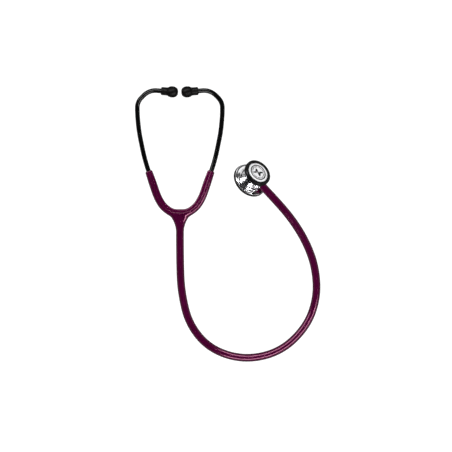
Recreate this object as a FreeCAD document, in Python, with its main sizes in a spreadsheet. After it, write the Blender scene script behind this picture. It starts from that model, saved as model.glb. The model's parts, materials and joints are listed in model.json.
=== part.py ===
import FreeCAD, Part
import math
import os
import re

import Sketcher
from FreeCAD import Placement, Rotation, Vector

# A dual-sided stethoscope lying flat, as an assembly of its real pieces. Millimetres, +Z up, floor at z = 0.
# The headset is laid out in its own frame, whose origin is the bottom of the yoke's U; head_x and head_y
# carry that frame to the part's frame. The chestpiece is laid out about its own centre: local Z runs from
# the large (adult) side to the small (paediatric) side and local X runs out along the stem.

DIMENSIONS = [
    ("head_x", -27.7), ("head_y", -65.4), ("lying_height", 4.9),
    # flexible tubing and yoke
    ("hose_radius", 4.8), ("hose_lumen", 2.4), ("yoke_radius", 4.9), ("yoke_lumen", 2.2),
    ("yoke_end_y", -23.2), ("pivot_x", 16.0), ("pivot_y", 4.35), ("pivot_gap", 0.4),
    ("web_thickness", 8.0), ("web_top_x", 13.2), ("web_top_y", -2.3), ("web_mid_x", 7.3), ("web_mid_y", -11.0),
    ("spring_thickness", 0.5), ("spring_width", 5.5), ("spring_offset", 3.0), ("spring_clearance", 0.15),
    ("spring_top", 35.5), ("spring_end_gap", 0.5),
    # ear tubes and eartips
    ("ear_tube_radius", 2.9), ("ear_tube_lumen", 2.1),
    ("tip_length", 20.4), ("tip_insertion", 11.8), ("tip_sleeve", 4.9), ("tip_bulb", 6.85), ("tip_mouth", 3.0),
    ("tip_hole", 1.5), ("core_fit", 0.04), ("core_wall", 0.9), ("core_recess", 1.0),
    # chestpiece placing
    ("chest_x", 89.6), ("chest_y", 43.6), ("stem_height", 22.45), ("stem_heading", -46.6), ("chest_tilt", 42.5),
    # adult side, distances from the stem axis towards the large side
    ("adult_rim_radius", 21.8), ("adult_flange_radius", 20.4), ("adult_disc_radius", 18.0),
    ("adult_front", 11.0), ("adult_disc_face", 10.7), ("adult_seat", 9.4), ("adult_flange_back", 7.0),
    ("adult_cavity", 7.4),
    # paediatric side
    ("small_rim_radius", 17.1), ("small_flange_radius", 15.8), ("small_disc_radius", 12.7),
    ("small_front", 11.5), ("small_disc_face", 11.1), ("small_seat", 9.9), ("small_flange_back", 8.0),
    ("small_cavity", 7.8),
    ("rim_lip", 0.75), ("rim_round", 0.6), ("rim_play", 0.1), ("rim_catch", 0.7), ("disc_thickness", 0.8),
    ("disc_gap", 0.25), ("seat_step", 0.5),
    ("surround_thickness", 0.55), ("drum_radius", 11.2), ("boss_radius", 5.4), ("boss_end", 13.0),
    # stem
    ("stem_radius", 3.2), ("stem_bore_fit", 0.05), ("stem_start", 2.2), ("bore_start", 2.0),
    ("stem_sound_radius", 1.25), ("sound_port_x", 4.0), ("sound_port_radius", 1.1), ("sound_end_gap", 0.3),
    ("collar_radius", 4.4), ("collar_start", 13.15), ("collar_end", 14.9),
    ("barb_root", 2.35), ("barb_crest", 2.6), ("barb_end", 29.0), ("barb_pitch", 3.6),
    ("ring_section", 0.5), ("ring_groove_width", 1.3), ("ring_one_x", 6.0), ("ring_two_x", 11.9),
    ("track_x", 8.2), ("track_depth", 0.6), ("track_width", 2.2),
    ("clip_x", 10.1), ("clip_radius", 3.75), ("clip_thickness", 0.6), ("clip_play", 0.15), ("clip_mouth", 3.4),
    ("ball_radius", 1.0), ("ball_clearance", 0.05), ("coil_wire", 0.15), ("coil_radius", 0.75),
    ("coil_pitch", 0.42), ("coil_turns", 4), ("screw_length", 1.1), ("screw_hex", 0.45),
]

# The yoke's U from its middle to the end of the right arm, and the right ear tube from inside that arm to
# inside the eartip: corners of straight runs, joined by tangent arcs.
YOKE_CORNERS = [(9.5, -0.2), (20.5, 7.6), (27.5, 19.5), (38.2, 51.0)]
EAR_CORNERS = [
    (33.7, 37.75, 4.9), (42.9, 64.8, 4.9), (49.9, 99.0, 6.4), (51.8, 120.0, 8.0),
    (51.8, 135.0, 10.2), (37.3, 149.4, 13.6), (10.75, 146.9, 17.4),
]
BEND_SHARE = 0.46
HOSE_SHARE = 0.45

# The hose's route, chosen by hand: straight out of the yoke, round the loop on the floor and up to the stem.
# Its last two points are on the stem's axis, worked out in hose_route.
HOSE_ROUTE = [
    (0.0, -23.2, 4.9), (0.0, -58.0, 4.9), (1.5, -96.0, 4.9), (11.0, -136.0, 4.9), (37.0, -166.5, 4.9),
    (79.0, -179.5, 4.9), (123.0, -169.5, 4.9), (155.0, -138.5, 4.9), (167.6, -102.5, 4.9),
    (165.4, -66.8, 5.6), (154.6, -37.0, 10.0), (138.2, -10.2, 17.0),
]
HOSE_LAST_RUN = 29.0

doc = FreeCAD.newDocument("Stethoscope")
sheet = doc.addObject("Spreadsheet::Sheet", "Dims")
pieces = []


def fill_sheet():
    for row, (alias, value) in enumerate(DIMENSIONS, start=1):
        sheet.set("A%d" % row, alias)
        sheet.set("B%d" % row, str(value))
        sheet.setAlias("B%d" % row, alias)
    doc.recompute()


def dim(alias):
    return float(sheet.get(alias))


def ref(text):
    """An expression over the sheet: each word in it becomes a reference to the cell of that name."""
    return re.sub(r"([a-z]\w*)", r"Dims.\1", text)


def bind(thing, **expressions):
    for name, text in expressions.items():
        thing.setExpression(name, ref(text))


def value_of(text):
    result = sheet.evalExpression(ref(text))
    return float(getattr(result, "Value", result))


def keep(thing, node, placement):
    """Names a finished sub-part and puts it in its place."""
    thing.Label = node
    thing.Placement = placement
    pieces.append(thing)
    return thing


# ---- places ----

def head_place():
    return Placement(Vector(dim("head_x"), dim("head_y"), 0), Rotation())


def chest_rotation():
    return Rotation(Vector(0, 0, 1), dim("stem_heading")).multiply(Rotation(Vector(1, 0, 0), -dim("chest_tilt")))


def chest_centre():
    return Vector(dim("head_x") + dim("chest_x"), dim("head_y") + dim("chest_y"), dim("stem_height"))


def chest_place():
    return Placement(chest_centre(), chest_rotation())


def tip_place(side):
    """The eartip's own frame: local Z along the end of the ear tube, origin at the eartip's open back end."""
    last, end = mirrored(EAR_CORNERS, side)[-2:]
    forward = (end - last).normalize()
    back = end - forward * dim("tip_insertion")
    return head_place().multiply(Placement(back, Rotation(Vector(0, 0, 1), forward)))


# ---- sketches and bodies ----

def new_body(name):
    return doc.addObject("PartDesign::Body", name)


def origin_plane(body, role):
    return next(item for item in body.Origin.OriginFeatures if item.Role == role)


def new_sketch(body, name, role):
    sketch = body.newObject("Sketcher::SketchObject", name)
    sketch.AttachmentSupport = (origin_plane(body, role), [""])
    sketch.MapMode = "FlatFace"
    return sketch


def pin_point(sketch, geometry, end, across, up):
    """Holds one end of a line or arc at two sheet expressions, or on an axis where the value is zero."""
    if abs(value_of(across)) < 1e-9:
        sketch.addConstraint(Sketcher.Constraint("PointOnObject", geometry, end, -2))
    else:
        index = sketch.addConstraint(
            Sketcher.Constraint("DistanceX", -1, 1, geometry, end, value_of(across)))
        sketch.setExpression("Constraints[%d]" % index, ref(across))
    if abs(value_of(up)) < 1e-9:
        sketch.addConstraint(Sketcher.Constraint("PointOnObject", geometry, end, -1))
        return
    index = sketch.addConstraint(Sketcher.Constraint("DistanceY", -1, 1, geometry, end, value_of(up)))
    sketch.setExpression("Constraints[%d]" % index, ref(up))


def bulged_arc(start, end, radius):
    """The short arc of that radius from start to end that bulges to the right of the way from one to the other."""
    chord = end - start
    half = chord.Length / 2
    height = radius - math.sqrt(max(radius * radius - half * half, 0))
    outward = Vector(chord.y, -chord.x, 0).normalize()
    return Part.Arc(start, (start + end) * 0.5 + outward * height, end)


def add_outline(sketch, outline):
    """A closed outline. Each corner is (across, up), or (across, up, radius) if an arc leads to it."""
    corners = [Vector(value_of(corner[0]), value_of(corner[1]), 0) for corner in outline]
    for index, corner in enumerate(outline):
        start, end = corners[index - 1], corners[index]
        if len(corner) == 3:
            sketch.addGeometry(bulged_arc(start, end, value_of(corner[2])), False)
        else:
            sketch.addGeometry(Part.LineSegment(start, end), False)
    for index, corner in enumerate(outline):
        geometry = index
        following = (index + 1) % len(outline)
        last_point, first_point = 2, 1
        if len(corner) == 3:
            last_point = arc_end(sketch, geometry, corners[index])
        if len(outline[following]) == 3:
            first_point = arc_end(sketch, following, corners[index])
        sketch.addConstraint(
            Sketcher.Constraint("Coincident", geometry, last_point, following, first_point))
        pin_point(sketch, geometry, last_point, corner[0], corner[1])
        if len(corner) == 3:
            place = sketch.addConstraint(Sketcher.Constraint("Radius", geometry, value_of(corner[2])))
            sketch.setExpression("Constraints[%d]" % place, ref(corner[2]))


def arc_end(sketch, geometry, corner):
    """Which end of an arc, 1 or 2, lies at a corner."""
    arc = sketch.Geometry[geometry]
    return 1 if arc.StartPoint.distanceToPoint(corner) < arc.EndPoint.distanceToPoint(corner) else 2


def revolved(name, outline):
    """A body turned about its local Z from an outline of (radius, height)."""
    body = new_body(name)
    sketch = new_sketch(body, name + "_profile", "XZ_Plane")
    add_outline(sketch, outline)
    turn = body.newObject("PartDesign::Revolution", name + "_turn")
    turn.Profile = sketch
    turn.ReferenceAxis = (sketch, ["V_Axis"])
    turn.Angle = 360
    doc.recompute()
    return body


def pocket_round(body, name, role, across, up, radius, depth, reverse):
    """A round hole from an origin plane; the volume must drop, or the hole points away from the solid."""
    before = body.Shape.Volume
    sketch = new_sketch(body, name + "_circle", role)
    sketch.addGeometry(
        Part.Circle(Vector(value_of(across), value_of(up), 0), Vector(0, 0, 1), value_of(radius)), False)
    pin_point(sketch, 0, 3, across, up)
    place = sketch.addConstraint(Sketcher.Constraint("Radius", 0, value_of(radius)))
    sketch.setExpression("Constraints[%d]" % place, ref(radius))
    pocket = body.newObject("PartDesign::Pocket", name)
    pocket.Profile = sketch
    pocket.Type = 0
    bind(pocket, Length=depth)
    pocket.Reversed = reverse
    doc.recompute()
    assert body.Shape.Volume < before - 1e-3, name + " cut nothing"
    return pocket


def groove_round(body, name, outline):
    """Cuts a ring about local X, from an outline of (distance along X, radius)."""
    before = body.Shape.Volume
    sketch = new_sketch(body, name + "_profile", "XZ_Plane")
    add_outline(sketch, outline)
    groove = body.newObject("PartDesign::Groove", name)
    groove.Profile = sketch
    groove.ReferenceAxis = (sketch, ["H_Axis"])
    groove.Angle = 360
    doc.recompute()
    assert body.Shape.Volume < before - 1e-3, name + " cut nothing"
    return groove


# ---- rounded paths ----

def mirrored(corners, side):
    """Points with X multiplied by side, as vectors; side is 1 for the right and -1 for the left."""
    return [Vector(side * corner[0], corner[1], corner[2]) for corner in corners]


def rounded_wire(points, share, report=None):
    """Straight runs joined by tangent arcs, each as large as share of the shorter of its two runs allows."""
    edges = []
    start = points[0]
    for before, corner, after in zip(points, points[1:], points[2:]):
        back = (before - corner).normalize()
        ahead = (after - corner).normalize()
        turn = math.pi - back.getAngle(ahead)
        cut = share * min((before - corner).Length, (after - corner).Length)
        radius = cut / math.tan(turn / 2)
        middle = (back + ahead).normalize()
        arc_middle = corner + middle * (radius / math.cos(turn / 2) - radius)
        edges.append(Part.LineSegment(start, corner + back * cut).toShape())
        edges.append(Part.Arc(corner + back * cut, arc_middle, corner + ahead * cut).toShape())
        start = corner + ahead * cut
        if report:
            print("%s bend: turn %.1f deg, radius %.1f mm" % (report, math.degrees(turn), radius))
    edges.append(Part.LineSegment(start, points[-1]).toShape())
    return Part.Wire(edges)


def add_path(name, wire):
    path = doc.addObject("Part::Feature", name)
    path.Shape = wire
    return path


def add_rod(name, path, radius):
    """A round rod swept along a path, its radius bound to the sheet."""
    first = path.Shape.Edges[0]
    start = first.valueAt(first.FirstParameter)
    circle = doc.addObject("Part::Circle", name + "_section")
    bind(circle, Radius=radius)
    circle.Placement = Placement(start, Rotation(Vector(0, 0, 1), first.tangentAt(first.FirstParameter)))
    rod = doc.addObject("Part::Sweep", name)
    rod.Sections = [circle]
    rod.Spine = (path, ["Edge%d" % (number + 1) for number in range(len(path.Shape.Edges))])
    rod.Solid = True
    rod.Frenet = False
    return rod


def add_cut(name, base, tool):
    cut = doc.addObject("Part::Cut", name)
    cut.Base = base
    cut.Tool = tool
    return cut


def swept(wire, radius):
    """A round solid along a wire, for shapes put together with Part's own functions."""
    first = wire.Edges[0]
    start = first.valueAt(first.FirstParameter)
    circle = Part.makeCircle(radius, start, first.tangentAt(first.FirstParameter))
    return wire.makePipe(Part.Face(Part.Wire(circle)))


def strip_along(wire, thickness, width, offset):
    """A flat strip on edge beside a level wire, offset towards the left of the way it runs."""
    first = wire.Edges[0]
    start = first.valueAt(first.FirstParameter)
    forward = first.tangentAt(first.FirstParameter)
    left = Vector(-forward.y, forward.x, 0).normalize()
    up = Vector(0, 0, 1)
    near = start + left * (offset - thickness / 2)
    far = start + left * (offset + thickness / 2)
    rise = up * (width / 2)
    face = Part.Face(Part.makePolygon([near - rise, far - rise, far + rise, near + rise, near - rise]))
    return wire.makePipe(face)


# ---- yoke: centre moulding, two arms and the leaf spring inside ----

def yoke_points():
    """The U from the end of the left arm to the end of the right arm."""
    level = dim("lying_height")
    right = [Vector(across, up, level) for across, up in YOKE_CORNERS]
    left = [Vector(-point.x, point.y, level) for point in reversed(right)]
    return left + right


def yoke_wire():
    return rounded_wire(yoke_points(), BEND_SHARE)


def arm_wire(side):
    """From the arm's flex point out to its end."""
    level = dim("lying_height")
    corners = [(dim("pivot_x"), dim("pivot_y"))] + YOKE_CORNERS[1:]
    return rounded_wire([Vector(side * across, up, level) for across, up in corners], BEND_SHARE)


def pivot_cylinder(side, radius):
    height = 2 * dim("lying_height") + 2
    return Part.makeCylinder(radius, height, Vector(side * dim("pivot_x"), dim("pivot_y"), -1))


def spring_strip(play, top):
    """The U-shaped strip of the leaf spring, grown by play all round and ending at the height top."""
    strip = strip_along(
        yoke_wire(), dim("spring_thickness") + play, dim("spring_width") + play, dim("spring_offset"))
    wide = 4 * YOKE_CORNERS[-1][0]
    deep = dim("yoke_end_y")
    return strip.common(Part.makeBox(wide, top - deep, 4 * dim("lying_height"), Vector(-wide / 2, deep, -1)))


def spring_slot():
    return spring_strip(2 * dim("spring_clearance"), dim("spring_top") + dim("spring_end_gap"))


def make_web():
    """The web in the crotch: flares from the hose's width up to the U."""
    level = dim("lying_height") - dim("web_thickness") / 2
    foot, low = dim("hose_radius") - 0.3, dim("yoke_end_y")
    top = Vector(dim("web_top_x"), dim("web_top_y"), level)
    middle = Vector(dim("web_mid_x"), dim("web_mid_y"), level)
    end = Vector(foot, low, level)
    edges = [
        Part.LineSegment(Vector(-foot, low, level), end).toShape(),
        Part.Arc(end, middle, top).toShape(),
        Part.LineSegment(top, Vector(top.x, 2, level)).toShape(),
        Part.LineSegment(Vector(top.x, 2, level), Vector(-top.x, 2, level)).toShape(),
        Part.LineSegment(Vector(-top.x, 2, level), Vector(-top.x, top.y, level)).toShape(),
        Part.Arc(Vector(-top.x, top.y, level), Vector(-middle.x, middle.y, level),
                 Vector(-foot, low, level)).toShape(),
    ]
    return Part.Face(Part.Wire(edges)).extrude(Vector(0, 0, dim("web_thickness")))


def make_junction():
    level = dim("lying_height")
    foot = Vector(0, dim("yoke_end_y"), level)
    up = Vector(0, 1, 0)
    length = -dim("yoke_end_y")
    shape = swept(yoke_wire(), dim("yoke_radius"))
    shape = shape.fuse(Part.makeCylinder(dim("hose_radius"), length, foot, up))
    shape = shape.fuse(make_web())
    for side in (-1, 1):
        reach = dim("yoke_radius") + dim("pivot_gap")
        shape = shape.cut(pivot_cylinder(side, reach))
    block = Part.makeBox(2 * dim("pivot_x"), 40, 4 * level, Vector(-dim("pivot_x"), dim("yoke_end_y"), -level))
    shape = shape.common(block)
    shape = shape.cut(swept(yoke_wire(), dim("yoke_lumen")))
    shape = shape.cut(Part.makeCylinder(dim("hose_lumen"), length, foot, up))
    shape = shape.cut(spring_slot())
    return max(shape.Solids, key=lambda solid: solid.Volume)


def make_arm(side):
    radius = dim("yoke_radius")
    base = Vector(side * dim("pivot_x"), dim("pivot_y"), dim("lying_height"))
    wire = arm_wire(side)
    shape = swept(wire, radius).fuse(Part.makeSphere(radius, base))
    shape = shape.cut(swept(wire, dim("yoke_lumen")))
    socket = Part.Wire([rounded_wire(mirrored(EAR_CORNERS[:2], side), BEND_SHARE).Edges[0]])
    shape = shape.cut(swept(socket, dim("ear_tube_radius")))
    shape = shape.cut(spring_slot())
    return max(shape.Solids, key=lambda solid: solid.Volume)


def add_shape(name, shape, node, placement):
    thing = doc.addObject("Part::Feature", name)
    thing.Shape = shape
    return keep(thing, node, placement)


def add_yoke():
    add_shape("Junction", make_junction(), "yoke_junction", head_place())
    add_shape("LeftArm", make_arm(-1), "left_yoke_arm", head_place())
    add_shape("RightArm", make_arm(1), "right_yoke_arm", head_place())
    add_shape("LeafSpring", spring_strip(0, dim("spring_top")), "headset_spring", head_place())


# ---- ear tubes, eartips and the threaded cores inside the eartips ----

def add_ear_tube(side, node):
    wire = rounded_wire(mirrored(EAR_CORNERS, side), BEND_SHARE)
    path = add_path(node + "_path", wire)
    outer = add_rod(node + "_outer", path, "ear_tube_radius")
    lumen = add_rod(node + "_lumen", path, "ear_tube_lumen")
    keep(add_cut(node + "_cut", outer, lumen), node, head_place())


def add_eartip(side, node):
    hole = "ear_tube_radius + core_fit + core_wall"
    outline = [
        (hole, "0"),
        ("tip_sleeve - 0.5", "0"),
        ("tip_sleeve", "1.2", "1.8"),
        ("tip_sleeve", "8.4"),
        ("tip_bulb", "13.6", "9.0"),
        ("tip_mouth", "tip_length", "8.2"),
        ("tip_hole", "tip_length"),
        ("tip_hole", "tip_insertion + 0.6"),
        (hole, "tip_insertion + 0.6"),
    ]
    keep(revolved(node + "_body", outline), node, tip_place(side))


def add_core(side, node):
    bore = "ear_tube_radius + core_fit"
    outline = [
        (bore, "core_recess"),
        (bore + " + core_wall", "core_recess"),
        (bore + " + core_wall", "tip_insertion + 0.6"),
        ("tip_hole", "tip_insertion + 0.6"),
        ("tip_hole", "tip_insertion + 0.1"),
        (bore, "tip_insertion + 0.1"),
    ]
    keep(revolved(node + "_body", outline), node, tip_place(side))


# ---- hose ----

def hose_route():
    """The route's points in the part's frame, with the last run laid along the stem's axis."""
    shift = Vector(dim("head_x"), dim("head_y"), 0)
    points = [Vector(*point) + shift for point in HOSE_ROUTE]
    outward = chest_rotation().multVec(Vector(1, 0, 0))
    mouth = chest_centre() + outward * dim("collar_end")
    return points + [mouth + outward * HOSE_LAST_RUN, mouth]


def add_hose():
    points = hose_route()
    for point in points:
        print("hose route point", [round(number, 2) for number in point])
    wire = rounded_wire(points, HOSE_SHARE, "hose")
    path = add_path("HosePath", wire)
    outer = add_rod("HoseOuter", path, "hose_radius")
    lumen = add_rod("HoseLumen", path, "hose_lumen")
    hose = keep(add_cut("Hose", outer, lumen), "main_tube", Placement())
    doc.recompute()
    section = math.pi * (dim("hose_radius") ** 2 - dim("hose_lumen") ** 2)
    print("hose length %.1f mm, volume %.0f, section x length %.0f" % (
        wire.Length, hose.Shape.Volume, section * wire.Length))


# ---- stem and what sits on it ----

def stem_outline():
    """(distance along X, radius): spigot with its grooves, collar, barbed end."""
    deep = "stem_radius + stem_bore_fit - 2 * ring_section - 0.05"
    half = "(ring_groove_width / 2)"
    outline = [("stem_start", "0"), ("stem_start", "stem_radius")]

    def groove(centre, half_width, floor):
        outline.append((centre + " - " + half_width, "stem_radius"))
        outline.append((centre + " - " + half_width, floor))
        outline.append((centre + " + " + half_width, floor))
        outline.append((centre + " + " + half_width, "stem_radius"))

    groove("ring_one_x", half, deep)
    groove("track_x", "(track_width / 2)", "stem_radius - track_depth")
    groove("clip_x", "(clip_thickness / 2 + 0.1)", "stem_radius - track_depth")
    groove("ring_two_x", half, deep)
    outline.append(("collar_start", "stem_radius"))
    outline.append(("collar_start", "collar_radius"))
    outline.append(("collar_end", "collar_radius"))
    outline.append(("collar_end", "barb_root"))
    for number in range(3):
        foot = "collar_end + 2.6 + %d * barb_pitch" % number
        outline.append((foot, "barb_root"))
        outline.append((foot, "barb_crest"))
        outline.append((foot + " + 2.4", "barb_root"))
    outline.append(("barb_end", "barb_root - 0.2"))
    outline.append(("barb_end", "0"))
    return outline


def add_stem():
    body = new_body("Stem")
    sketch = new_sketch(body, "Stem_profile", "XZ_Plane")
    add_outline(sketch, stem_outline())
    turn = body.newObject("PartDesign::Revolution", "Stem_turn")
    turn.Profile = sketch
    turn.ReferenceAxis = (sketch, ["H_Axis"])
    turn.Angle = 360
    doc.recompute()
    groove_round(body, "SoundBore", [
        ("sound_port_x - sound_port_radius - sound_end_gap", "0"), ("barb_end", "0"),
        ("barb_end", "stem_sound_radius"),
        ("sound_port_x - sound_port_radius - sound_end_gap", "stem_sound_radius")])
    pocket_round(body, "SoundPort", "XY_Plane", "sound_port_x", "0", "sound_port_radius",
                 "2 * stem_radius", False)
    keep(body, "stem", chest_place())


def add_o_rings():
    rings = []
    for name, position in (("RingOne", "ring_one_x"), ("RingTwo", "ring_two_x")):
        ring = doc.addObject("Part::Torus", name)
        bind(ring, Radius1="stem_radius - ring_section", Radius2="ring_section")
        ring.Placement = Placement(Vector(value_of(position), 0, 0), Rotation(Vector(0, 1, 0), 90))
        rings.append(ring)
    group = doc.addObject("Part::Compound", "Rings")
    group.Links = rings
    keep(group, "stem_o_rings", chest_place())


def add_clip():
    """The open ring that keeps the stem in the chestpiece."""
    outer = doc.addObject("Part::Cylinder", "ClipOuter")
    bind(outer, Radius="clip_radius", Height="clip_thickness")
    hole = doc.addObject("Part::Cylinder", "ClipHole")
    bind(hole, Radius="stem_radius - track_depth + 0.05", Height="clip_thickness")
    ring = add_cut("ClipRing", outer, hole)
    gap = doc.addObject("Part::Box", "ClipGap")
    bind(gap, Length="2 * clip_radius", Width="clip_mouth", Height="2 * clip_thickness")
    gap.Placement = Placement(Vector(0, -dim("clip_mouth") / 2, -dim("clip_thickness") / 2), Rotation())
    clip = add_cut("Clip", ring, gap)
    start = Vector(dim("clip_x") - dim("clip_thickness") / 2, 0, 0)
    along_stem = Placement(start, Rotation(Vector(0, 1, 0), 90))
    keep(clip, "stem_retaining_ring", chest_place().multiply(along_stem))


def add_detent():
    """Ball, coil spring and grub screw in a hole above the stem's track."""
    floor = dim("stem_radius") - dim("track_depth")
    ball_height = floor + dim("ball_clearance") + dim("ball_radius")
    ball = doc.addObject("Part::Sphere", "Ball")
    bind(ball, Radius="ball_radius")
    on_track = Placement(Vector(dim("track_x"), 0, ball_height), Rotation())
    keep(ball, "detent_ball", chest_place().multiply(on_track))

    coil_start = ball_height + dim("ball_radius") + dim("coil_wire")
    coil_length = dim("coil_pitch") * dim("coil_turns")
    helix = Part.makeHelix(dim("coil_pitch"), coil_length, dim("coil_radius"))
    circle = Part.Wire(Part.makeCircle(dim("coil_wire"), Vector(dim("coil_radius"), 0, 0), Vector(0, 1, 0)))
    coil = Part.Wire(helix).makePipeShell([circle], True, True)
    at_hole = Placement(Vector(dim("track_x"), 0, coil_start), Rotation())
    add_shape("DetentCoil", coil, "detent_spring", chest_place().multiply(at_hole))

    screw = doc.addObject("Part::Cylinder", "ScrewBlank")
    bind(screw, Radius="ball_radius", Height="screw_length")
    socket = doc.addObject("Part::Prism", "ScrewSocket")
    bind(socket, Circumradius="screw_hex", Height="screw_length")
    socket.Placement = Placement(Vector(0, 0, dim("screw_length") / 2), Rotation())
    seat = Vector(dim("track_x"), 0, coil_start + coil_length + dim("coil_wire"))
    keep(add_cut("Screw", screw, socket), "detent_screw", chest_place().multiply(Placement(seat, Rotation())))


# ---- chestpiece ----

def chestpiece_outline():
    """(radius, height) from the adult cavity's floor round the outside to the paediatric cavity's floor."""
    return [
        ("0", "-adult_cavity"),
        ("0", "small_cavity"),
        ("small_disc_radius + seat_step", "small_seat - 0.7"),
        ("small_disc_radius + seat_step", "small_seat"),
        ("small_flange_radius", "small_seat"),
        ("small_flange_radius", "small_flange_back"),
        ("small_flange_radius - 0.9", "small_flange_back"),
        ("small_flange_radius - 0.9", "small_flange_back - 1.4"),
        ("drum_radius + 1.4", "5.0"),
        ("drum_radius", "4.2"),
        ("drum_radius", "-3.0"),
        ("drum_radius + 0.9", "-3.6"),
        ("drum_radius + 0.9", "-4.6"),
        ("drum_radius + 4.2", "-5.2"),
        ("drum_radius + 4.2", "-5.7"),
        ("adult_flange_radius - 1.2", "-5.9"),
        ("adult_flange_radius - 0.9", "-6.2"),
        ("adult_flange_radius - 0.9", "-adult_flange_back"),
        ("adult_flange_radius", "-adult_flange_back"),
        ("adult_flange_radius", "-adult_seat"),
        ("adult_disc_radius + seat_step", "-adult_seat"),
        ("adult_disc_radius + seat_step", "0.6 - adult_seat"),
    ]


def add_boss(body):
    """The short round boss that the stem runs into."""
    before = body.Shape.Volume
    sketch = new_sketch(body, "Boss_circle", "YZ_Plane")
    sketch.addGeometry(Part.Circle(Vector(0, 0, 0), Vector(0, 0, 1), dim("boss_radius")), False)
    sketch.addConstraint(Sketcher.Constraint("Coincident", 0, 3, -1, 1))
    place = sketch.addConstraint(Sketcher.Constraint("Radius", 0, dim("boss_radius")))
    sketch.setExpression("Constraints[%d]" % place, ref("boss_radius"))
    pad = body.newObject("PartDesign::Pad", "Boss")
    pad.Profile = sketch
    bind(pad, Length="boss_end")
    doc.recompute()
    assert body.Shape.Volume > before, "the boss points into the solid"


def add_chestpiece():
    body = revolved("ChestpieceBody", chestpiece_outline())
    add_boss(body)
    bore = "stem_radius + stem_bore_fit"
    groove_round(body, "StemBore", [
        ("bore_start", "0"), ("boss_end", "0"), ("boss_end", bore), ("bore_start", bore)])
    side = "(clip_thickness / 2 + clip_play)"
    groove_round(body, "ClipGroove", [
        ("clip_x - " + side, "2"), ("clip_x + " + side, "2"),
        ("clip_x + " + side, "clip_radius + clip_play"), ("clip_x - " + side, "clip_radius + clip_play")])
    pocket_round(body, "AdultPort", "XY_Plane", "sound_port_x", "0", "sound_port_radius", "adult_front", False)
    pocket_round(body, "SmallPort", "XY_Plane", "sound_port_x", "0", "sound_port_radius", "small_front", True)
    pocket_round(body, "DetentHole", "XY_Plane", "track_x", "0", "ball_radius + ball_clearance",
                 "small_front", True)
    keep(body, "chestpiece_body", chest_place())


def rim_outline(side, prefix, open_radius):
    """A snap-on rim, a channel that wraps the flange. side is 1 for the small side and -1 for the adult side."""
    outer = prefix + "_rim_radius"
    wall = prefix + "_flange_radius + rim_play"

    def level(text):
        return text if side == 1 else "0 - (" + text + ")"

    front = prefix + "_front"
    back = prefix + "_flange_back - rim_play - rim_lip"
    return [
        (open_radius, level(front + " - 0.3")),
        (open_radius + " + 0.5", level(front)),
        (outer + " - rim_round", level(front)),
        (outer, level(front + " - rim_round")),
        (outer, level(back + " + rim_round")),
        (outer + " - rim_round", level(back)),
        (prefix + "_flange_radius - rim_catch", level(back)),
        (prefix + "_flange_radius - rim_catch", level(prefix + "_flange_back - rim_play")),
        (wall, level(prefix + "_flange_back - rim_play")),
        (wall, level(front + " - rim_lip")),
        (open_radius, level(front + " - rim_lip")),
    ]


def ring_outline(inner, outer, low, high):
    return [(inner, low), (outer, low), (outer, high), (inner, high)]


def add_adult_side():
    opening = "adult_disc_radius + 0.3"
    keep(revolved("AdultRim", rim_outline(-1, "adult", opening)), "adult_rim", chest_place())
    inner = "adult_disc_radius + disc_gap"
    outer = "adult_flange_radius - 0.1"
    low = "0 - adult_seat - surround_thickness"
    surround = revolved("AdultSurround", ring_outline(inner, outer, low, "0 - adult_seat"))
    keep(surround, "adult_surround", chest_place())
    face = "0 - adult_disc_face"
    disc = revolved("AdultDisc", ring_outline("0", "adult_disc_radius", face, face + " + disc_thickness"))
    keep(disc, "adult_diaphragm", chest_place())


def add_small_side():
    opening = "small_disc_radius + 0.25"
    keep(revolved("SmallRim", rim_outline(1, "small", opening)), "pediatric_rim", chest_place())
    inner = "small_disc_radius + disc_gap"
    outer = "small_flange_radius - 0.1"
    high = "small_seat + surround_thickness"
    surround = revolved("SmallSurround", ring_outline(inner, outer, "small_seat", high))
    keep(surround, "pediatric_surround", chest_place())
    low = "small_disc_face - disc_thickness"
    disc = revolved("SmallDisc", ring_outline("0", "small_disc_radius", low, "small_disc_face"))
    keep(disc, "pediatric_diaphragm", chest_place())


# ---- build, check and write ----

def build():
    fill_sheet()
    add_yoke()
    for side, word in ((-1, "left"), (1, "right")):
        add_ear_tube(side, word + "_ear_tube")
        add_eartip(side, word + "_eartip")
        add_core(side, word + "_eartip_core")
    add_hose()
    add_stem()
    add_o_rings()
    add_clip()
    add_detent()
    add_chestpiece()
    add_adult_side()
    add_small_side()
    doc.recompute()


def check():
    for thing in doc.Objects:
        bad = [word for word in thing.State if word in ("Invalid", "Error")]
        assert not bad, "%s: %s" % (thing.Label, thing.State)
    for piece in pieces:
        shape = piece.Shape
        assert not shape.isNull() and shape.isValid() and shape.Solids, piece.Label


def write():
    os.makedirs("parts", exist_ok=True)
    for piece in pieces:
        piece.Shape.exportStep("parts/%s.step" % piece.Label)
        box = piece.Shape.BoundBox
        print("%-22s solids %d volume %8.1f  x %7.2f %7.2f  y %7.2f %7.2f  z %6.2f %6.2f" % (
            piece.Label, len(piece.Shape.Solids), piece.Shape.Volume,
            box.XMin, box.XMax, box.YMin, box.YMax, box.ZMin, box.ZMax))


build()
check()
write()
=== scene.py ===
import json
import math

import bmesh
import bpy
import numpy as np
from mathutils import Matrix, Vector


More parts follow.
